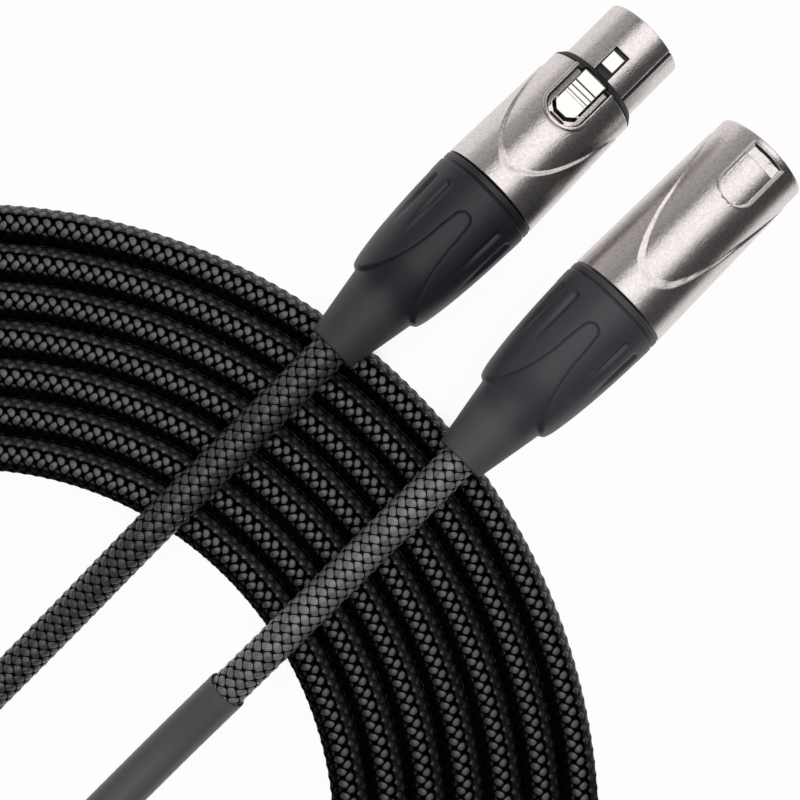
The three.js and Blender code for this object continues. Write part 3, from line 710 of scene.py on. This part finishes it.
# Signed distance to the outline of the nearer tongue, on top or on the belly. Inside is negative.
def tongueAway(x, y):
    half = smoothThrough(boot["tongue"], x)
    places = np.linspace(-40, 0, 400)
    slope = np.gradient(smoothThrough(boot["tongue"], places), 0.1)
    beside = (y - half) / np.sqrt(1 + np.interp(x, places, slope) ** 2)
    return np.where(x < boot["tip"], beside, np.hypot(x - boot["tip"], y) - boot["tipRadius"])


def bootPiece(side):
    angles = lines(-180, 2, -44, 0.5, 44, 2, 180)[:-1]
    x = lines(-39.1, 0.3, -28, 0.15, -25.5, 0.2, -10, 0.12, -6.5, 0.24, -3.1, 0.1, -1, 0.35, -0.5)[:, None]
    low, high = smoothThrough(boot["low"], x), smoothThrough(boot["high"], x)
    away = tongueAway(x, np.abs(high * np.sin(angles * degree)))
    rise = ease(away, -0.08, 0.25) * ease(x, -27.35, -26.3)
    # towards its tip the tongue comes level with the petals, and a groove goes round it
    level = 0.94 * ease(x, -27.5, -19)
    radius = low + (high - low) * (rise + (1 - rise) * level)
    radius = radius - boot["groove"] * np.exp(-((away + 0.1) / 0.14) ** 2) * ease(x, -25, -21)
    long = ease(x, -18, -8) * (1 - ease(x, -5.5, -4.8))
    for finger in (*boot["fingers"], *(-angle for angle in boot["fingers"])):
        aside = ((angles - finger + 180) % 360 - 180) * degree * high
        radius = radius - boot["fingerDeep"] * long * np.exp(-(aside / boot["fingerWide"]) ** 2)
    ringAt, ringDeep = boot["ring"]
    radius = radius - ringDeep * np.exp(-((x - ringAt) / 0.22) ** 2) - 0.08 * ease(x, -1.6, -1.2)
    ends = profile(boot["section"], 1.2, closed=False)[1:-1]
    x = stacked([x, ends[:, :1]], angles)
    radius = stacked([radius, ends[:, 1:]], angles)
    angles = angles + boot["turned"][side]
    return turned(f"{side}Boot", side, x, radius, angles, "boot_rubber", f"{side}_boot")


bootPiece("female")
bootPiece("male")

# from and to are distances along the male end
sleeve = {"from": 99.5, "to": 139.5, "inner": 3.72, "outer": 3.9, "imprint": 0.035}


# The heat-shrink sleeve: a thin tube round the male end, which shows the braid under it faintly.
def markerSleeve():
    start, end, inner, outer = (sleeve[key] for key in ("from", "to", "inner", "outer"))
    skin = profile([(start, inner, 0), (start, outer, 0.1), (end, outer, 0.1), (end, inner, 0)],
                   0.5, closed=False)
    bore = np.stack([np.linspace(end, start, 12)[1:-1], np.full(10, inner)], -1)
    along, radius = np.concatenate([skin, bore]).T
    path, level, above = (readOff(along, distances(maleLine), way)
                          for way in (maleLine, *acrossLine(maleLine)))
    u, v = np.meshgrid(np.arange(84) * braid["columns"] / 84, along / braid["pitch"])
    radius = radius[:, None] - sleeve["imprint"] * (1 - braidHump(u, v)) * (radius[:, None] > outer - 0.02)
    piece = ringMesh("markerSleeve", ringsRound(path, level, above, u, radius), loop=True)
    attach(piece, "cable")
    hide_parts("marker_sleeve")
    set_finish(piece, "heatshrink")


markerSleeve()
print("connectors made")


# One output of a node. Arithmetic on it adds Math nodes.
class Link:
    def __init__(self, nodes, socket):
        self.nodes = nodes
        self.socket = socket

    def __add__(self, other):
        return self.nodes.maths("ADD", self, other)

    def __radd__(self, other):
        return self.nodes.maths("ADD", other, self)

    def __sub__(self, other):
        return self.nodes.maths("SUBTRACT", self, other)

    def __rsub__(self, other):
        return self.nodes.maths("SUBTRACT", other, self)

    def __mul__(self, other):
        return self.nodes.maths("MULTIPLY", self, other)

    def __rmul__(self, other):
        return self.nodes.maths("MULTIPLY", other, self)

    def apply(self, operation, *others):
        return self.nodes.maths(operation, self, *others)

    def between(self, low, high):  # 0 at low and 1 at high, eased
        span = {"interpolation_type": "SMOOTHSTEP", "clamp": True}
        values = {"Value": self, "From Min": low, "From Max": high, "To Min": 0, "To Max": 1}
        return self.nodes.node("ShaderNodeMapRange", span, values)


# The nodes of a material or of the world.
class Nodes:
    def __init__(self, tree):
        self.tree = tree

    def set(self, node, values):
        for key, value in values.items():
            if isinstance(value, Link):
                self.tree.links.new(value.socket, node.inputs[key])
            elif isinstance(value, tuple) and len(value) == 3 and node.inputs[key].type == "RGBA":
                node.inputs[key].default_value = (*value, 1)
            else:
                node.inputs[key].default_value = value

    # Any node: its type, its settings, then the values or links of its sockets. Gives one output.
    def node(self, kind, settings=None, values=None, output=0):
        made = self.tree.nodes.new(kind)
        for key, value in (settings or {}).items():
            setattr(made, key, value)
        self.set(made, values or {})
        return Link(self, made.outputs[output])

    def maths(self, operation, *values):
        return self.node("ShaderNodeMath", {"operation": operation}, dict(enumerate(values)))

    def axis(self, vector, letter):
        return self.node("ShaderNodeSeparateXYZ", {}, {0: vector}, letter)

    # 1 on rays from the camera, and 1 on mirrored rays and on those through glass
    def rays(self):
        camera, glossy, through = (self.node("ShaderNodeLightPath", output=f"Is {kind} Ray")
                                   for kind in ("Camera", "Glossy", "Transmission"))
        return camera, glossy.apply("MAXIMUM", through)


class Shader(Nodes):
    def __init__(self, name, **fixed):
        self.material = bpy.data.materials.new(name)
        self.material.use_nodes = True
        super().__init__(self.material.node_tree)
        self.surface = self.tree.nodes["Principled BSDF"]
        self.feed(**fixed)

    def feed(self, **values):
        self.set(self.surface, {key.replace("_", " "): value for key, value in values.items()})

    # The surface shows by its share, and the other shader for the rest.
    def cover(self, share, other):
        own = Link(self, self.surface.outputs["BSDF"])
        both = self.node("ShaderNodeMixShader", {}, {0: share, 1: other, 2: own})
        self.tree.links.new(both.socket, self.tree.nodes["Material Output"].inputs["Surface"])

    def place(self):
        return self.node("ShaderNodeTexCoord", output="Object")

    def noise(self, size, detail, stretch=None):  # size in mm
        where = self.place()
        if stretch:
            where = self.node("ShaderNodeMapping", {}, {"Vector": where, "Scale": stretch})
        values = {"Vector": where, "Scale": 1 / (size * mm), "Detail": detail}
        return self.node("ShaderNodeTexNoise", {"noise_dimensions": "3D"}, values, "Fac")

    def mixed(self, share, low, high):
        return self.node("ShaderNodeMix", {"data_type": "RGBA"}, {0: share, 6: low, 7: high}, 2)

    def bump(self, height, deep):  # deep in mm
        return self.node("ShaderNodeBump", {}, {"Height": height, "Distance": deep * mm}, "Normal")


# The braid: u counts the columns of diamonds and v the pitches. Along the diagonals
# a = (u + 2v) / 2 and b = (u - 2v) / 2 every strand is one unit wide. Even columns show the strands
# of one slant and odd columns those of the other, with their fine yarns lying along them.
def braidFinish(name, crown, gap, worn):
    shader = Shader(name, IOR=1.5, Specular_IOR_Level=1.0)
    lay = shader.node("ShaderNodeUVMap", {"uv_map": "lay"})
    u, v = shader.axis(lay, "X"), shader.axis(lay, "Y")
    a, b = u * 0.5 + v, u * 0.5 - v
    wholeA, wholeB = a.apply("ROUND"), b.apply("ROUND")
    pastA, pastB = a - wholeA, b - wholeB
    odd = (wholeA + wholeB).apply("FLOORED_MODULO", 2)
    across = pastA * odd + pastB * (1 - odd)
    along = pastB * odd + pastA * (1 - odd)
    # a strand falls off to its sides, and less where it dives under the next one
    hump = (across * math.pi).apply("COSINE") * (0.42 + 0.58 * (along * math.pi).apply("COSINE"))
    yarns = (across * (2 * math.pi * 5.5)).apply("COSINE")
    strand = shader.node("ShaderNodeCombineXYZ", {}, {"X": wholeA, "Y": wholeB})
    own = shader.node("ShaderNodeTexWhiteNoise", {"noise_dimensions": "2D"}, {"Vector": strand}, "Value")
    fibre = shader.noise(0.16, 2)
    lightness = 0.55 + 0.5 * own + 0.2 * yarns + 0.6 * (fibre - 0.5)
    # worn gives how far the strands show and a share of their lightness; on the coil that share holds
    # painted shade
    shown, share = worn(shader, u, hump)
    shader.feed(
        Base_Color=shader.mixed(lightness * share, gap, crown),
        Roughness=0.3 + 0.16 * (fibre - 0.5),
        Normal=shader.bump(shown * 0.5 + hump * 0.3 + yarns * 0.1 + fibre * 0.14, 0.13),
    )
    # between the strands it is matt and nearly black, partly painted shade in the crossings; the same dark
    # covers the strands where the coil's painted shade hides them
    matt = {"Base Color": gap, "Roughness": 0.9, "Specular IOR Level": 0.0}
    shader.cover(shown, shader.node("ShaderNodeBsdfPrincipled", {}, matt, "BSDF"))
    return shader.material


# How far the strands show and how light they are, on the coil: u is 3.5 on top of the cable and 7
# at its outer side. From u 5.9 round the underside and up the inner flank to u 2.2 this is painted
# shade, with the strands hidden under the matt dark and darkened. Past a row where they show less, a
# band towards the outer side is smooth and darker. The coil is lighter towards +Y, the female end's side.
def coilStrandsAndShade(shader, u, hump):
    smooth = u.between(4.55, 5.1) * (1 - u.between(6.2, 7.0))
    below = u.between(5.9, 6.9)
    pits = u.between(4.15, 4.45) * (1 - u.between(4.8, 5.05))
    # painted shade: the strands are hidden and darkened up to u 2.2 and from u 5.9 on
    shown = (hump - 0.3 * pits).between(0.32, 0.62) * (0.1 + 0.9 * u.between(2.15, 2.7)) * (1 - 0.9 * below)
    light = (1 - 0.4 * smooth) * (1 - 0.8 * below) * (0.15 + 0.85 * u.between(2.2, 2.8))
    wideChange = 0.42 + 0.8 * shader.axis(shader.place(), "Y").between(-0.06, 0.09)
    return shown.apply("MAXIMUM", 0.42 * smooth), light * wideChange


# The same on the two ends, which get as dark as the coil past the sleeve.
def endStrandsAndFade(shader, u, hump):
    x = shader.axis(shader.place(), "X")
    light = (0.3 + 0.7 * x.between(-0.16, -0.12)) * (0.4 + 0.6 * x.between(-0.205, -0.165))
    return hump.between(0.2, 0.5), light


def satinNickel():
    shader = Shader("satinNickel", Metallic=1.0)
    grain = shader.noise(0.33, 3)
    patches = shader.noise(0.6, 2)
    worn = shader.noise(9, 2)
    speckle = (grain * 0.6 + patches * 0.4).between(0.33, 0.67)
    shader.feed(
        Base_Color=shader.mixed(speckle, (0.59, 0.545, 0.533), (0.79, 0.733, 0.718)),
        Roughness=0.3 + 0.14 * (grain - 0.5) + 0.06 * (worn - 0.5),
        Normal=shader.bump(grain * 0.9 + patches * 0.12, 0.05),
    )
    return shader.material


def brightNickel():
    shader = Shader("brightNickel", Metallic=1.0)
    grain = shader.noise(0.25, 3)
    smear = shader.noise(1.2, 2)
    shader.feed(
        Base_Color=shader.mixed(smear, (0.68, 0.665, 0.63), (0.8, 0.785, 0.75)),
        Roughness=0.16 + 0.1 * (smear - 0.3),
        Normal=shader.bump(grain, 0.008),
    )
    return shader.material


def contactSilver():
    shader = Shader("contactSilver", Metallic=1.0)
    smear = shader.noise(1.1, 3)
    shader.feed(
        Base_Color=shader.mixed(smear, (0.66, 0.64, 0.6), (0.88, 0.87, 0.84)),
        Roughness=0.18 + 0.16 * smear,
        Normal=shader.bump(smear, 0.01),
    )
    return shader.material


# Moulded rubber: a fine matt grain over soft, wide differences of gloss.
def mouldedRubber(name, dark, light, rough, grainSize, grainDeep, worn=None):
    shader = Shader(name, IOR=1.5)
    grain = shader.noise(grainSize, 3)
    wideChange = shader.noise(7, 3)
    colour = shader.mixed(wideChange * 0.7 + grain * 0.3, dark, light)
    greyer = 0
    if worn:
        # the narrow rear end is greyer and duller than the petals
        x = shader.axis(shader.place(), "X")
        greyer = 1 - x.between(worn["from"] * mm, worn["to"] * mm)
        colour = shader.mixed(greyer, colour, worn["colour"])
    shader.feed(
        Base_Color=colour,
        Roughness=rough + 0.14 * (wideChange - 0.5) + 0.1 * (grain - 0.5) + 0.1 * greyer,
        Normal=shader.bump(grain, grainDeep),
    )
    return shader.material


# Smooth plastic: a little unevenness of colour and gloss over a very fine grain.
def smoothPlastic(name, dark, light, rough, coat=0.0):
    shader = Shader(name, IOR=1.46, Coat_Weight=coat)
    smear = shader.noise(1.6, 3)
    grain = shader.noise(0.2, 2)
    shader.feed(
        Base_Color=shader.mixed(smear, dark, light),
        Roughness=rough + 0.12 * (smear - 0.5),
        Normal=shader.bump(grain + smear, 0.01),
    )
    return shader.material


# Tarnished copper, with its strands as lines along x.
def bareCopper():
    shader = Shader("bareCopper", Metallic=1.0)
    tarnish = shader.noise(1.4, 4)
    strands = shader.noise(0.22, 2, stretch=(0.15, 1, 1))
    shader.feed(
        Base_Color=shader.mixed(tarnish, (0.62, 0.24, 0.12), (0.86, 0.42, 0.26)),
        Roughness=0.28 + 0.2 * tarnish,
        Normal=shader.bump(strands, 0.05),
    )
    return shader.material


finishes = {
    "satin_nickel": satinNickel(),
    "bright_nickel": brightNickel(),
    "contact_silver": contactSilver(),
    "boot_rubber": mouldedRubber(
        "bootRubber", (0.0095, 0.0095, 0.0145), (0.017, 0.017, 0.0245), 0.44, 0.12, 0.03,
        {"from": -30, "to": -25, "colour": (0.042, 0.042, 0.043)}),
    "seal_rubber": mouldedRubber("sealRubber", (0.003, 0.003, 0.003), (0.006, 0.006, 0.006), 0.62, 0.15,
                                 0.02),
    "heatshrink": mouldedRubber("heatShrink", (0.078, 0.078, 0.079), (0.1, 0.1, 0.101), 0.46, 0.3, 0.02),
    "insulator": smoothPlastic("insulatorPlastic", (0.012, 0.012, 0.012), (0.02, 0.02, 0.021), 0.4),
    "core_red": smoothPlastic("redInsulation", (0.38, 0.012, 0.01), (0.5, 0.025, 0.018), 0.35, 0.2),
    "core_white": smoothPlastic("whiteInsulation", (0.68, 0.67, 0.63), (0.8, 0.79, 0.76), 0.35, 0.2),
    "bare_copper": bareCopper(),
}
coilBraid = braidFinish("coilBraid", (0.088, 0.088, 0.089), (0.001, 0.001, 0.001), coilStrandsAndShade)
tailBraid = braidFinish("tailBraid", (0.06, 0.06, 0.061), (0.002, 0.002, 0.002), endStrandsAndFade)
# the male end and its boot get lighter copies of their materials: painted light, as if more light fell on
# them
ownFinishes = {
    "femaleTail": tailBraid,
    "maleTail": braidFinish("maleBraidLit", (0.2, 0.2, 0.201), (0.004, 0.004, 0.004), endStrandsAndFade),
    "maleBoot": mouldedRubber(
        "maleRubberLit", (0.034, 0.0335, 0.041), (0.048, 0.047, 0.056), 0.46, 0.12, 0.03,
        {"from": -30, "to": -25, "colour": (0.072, 0.072, 0.073)}),
}

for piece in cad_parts.values():
    for held in piece.material_slots:
        held.material = finishes.get(held.material.name, tailBraid)
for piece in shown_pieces():
    if piece.name.startswith("cableTurn"):
        piece.data.materials.append(coilBraid)
    elif piece.name in ownFinishes:
        piece.data.materials.append(ownFinishes[piece.name])
    elif not piece.data.materials:
        piece.data.materials.append(finishes[piece["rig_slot"]])
        if "under" in piece:
            piece.data.materials.append(finishes[piece["under"]])
# the female shell doesn't mirror the male one beside it, as if they were photographed apart
maleShell.visible_glossy = False
print("finishes made")


# The photograph's view, from straight above.
view = {"place": (-0.0375, -0.00005, 0.310), "lens": 75.6, "turned": -45}
camera = bpy.data.objects.new("camera", bpy.data.cameras.new("camera"))
camera.data.lens = view["lens"]
camera.data.sensor_width = 36
camera.data.clip_start = 0.01
camera.location = view["place"]
camera.rotation_euler = (0, 0, view["turned"] * degree)
bpy.context.scene.collection.objects.link(camera)
bpy.context.scene.camera = camera
bpy.context.scene.view_settings.view_transform = "Standard"

studio = {
    "floorHalf": 2.5, "floorLevel": -0.0001,
    "floorShown": 0.96,           # how far the floor's white hides the shading of shadows
    # crevice also sets how narrow a gap must be to get the floor's painted shade
    "crevice": 0.009,             # the white stays out of gaps as narrow as this
    "world": 0.35,
    "dim": 0.05,                  # what metal mirrors of it above the low wall
    "keyPlace": (0.5, -0.02, 0.86), "keySize": (1.75, 0.94), "keyPower": 7.1,
    "sidePlace": (0.3, 1.0, 0.44), "sideSize": (1.5, 0.84), "sidePower": 1.5,
}


# Seen directly, mirrored or through glass, the floor is white, and it lights the object plainly.
# In narrow gaps it turns nearly black, painted shade, and the white stays out of them. Far to the
# -Y side metal mirrors none of the white but finds the floor nearly black, a painted dark reflection.
def floorFinish():
    shader = Shader("floorLook", Roughness=0.9)
    reach = {"Distance": studio["crevice"]}
    openness = shader.node("ShaderNodeAmbientOcclusion", {"samples": 8}, reach, "AO")
    farSide = 1 - shader.axis(shader.place(), "Y").between(-0.085, -0.055)
    glossy = shader.node("ShaderNodeLightPath", output="Is Glossy Ray")
    # kept is 0 where the floor is dark: painted shade in narrow gaps, a painted dark reflection far to -Y
    kept = openness.between(0.15, 0.45) * (1 - farSide * glossy)
    shader.feed(Base_Color=shader.mixed(kept, (0.01, 0.01, 0.01), (0.85, 0.85, 0.85)))
    direct, mirrored = shader.rays()
    white = shader.node("ShaderNodeEmission", {}, {"Color": (1, 1, 1), "Strength": 1.0})
    shader.cover(1 - direct.apply("MAXIMUM", mirrored) * kept * studio["floorShown"], white)
    return shader.material


half, level = studio["floorHalf"], studio["floorLevel"]
corners = [(x * half, y * half, level) for x, y in ((-1, -1), (1, -1), (1, 1), (-1, 1))]
floorMesh = bpy.data.meshes.new("floor")
floorMesh.from_pydata(corners, [], [(0, 1, 2, 3)])
floorMesh.materials.append(floorFinish())
floor = bpy.data.objects.new("floor", floorMesh)
bpy.context.scene.collection.objects.link(floor)


# The world is a dim studio with a low white wall on the +Y side. Seen directly it is all white.
def studioWorld():
    world = bpy.data.worlds.new("world")
    world.use_nodes = True
    bpy.context.scene.world = world
    sky = Nodes(world.node_tree)
    direct, mirrored = sky.rays()
    facing = sky.node("ShaderNodeTexCoord", output="Generated")
    wall = (1 - sky.axis(facing, "Z").between(0.0, 0.12)) * sky.axis(facing, "Y").between(-0.6, -0.1)
    seen = studio["dim"] + (1 - studio["dim"]) * wall
    strength = direct.apply("MAXIMUM", studio["world"] * (1 - mirrored) + mirrored * seen)
    sky.set(world.node_tree.nodes["Background"], {"Color": (1, 1, 1), "Strength": strength})


studioWorld()


def areaLight(name, place, aim, size, power):
    lamp = bpy.data.objects.new(name, bpy.data.lights.new(name, "AREA"))
    lamp.data.shape = "RECTANGLE"
    lamp.data.size, lamp.data.size_y = size
    lamp.data.energy = power
    lamp.location = place
    lamp.rotation_euler = (Vector(aim) - Vector(place)).to_track_quat("-Z", "Y").to_euler()
    lamp.visible_camera = False
    bpy.context.scene.collection.objects.link(lamp)


underKey = (*studio["keyPlace"][:2], 0)
areaLight("keyLight", studio["keyPlace"], underKey, studio["keySize"], studio["keyPower"])
areaLight("sideLight", studio["sidePlace"], (-0.04, 0, 0), studio["sideSize"], studio["sidePower"])
print("studio made")
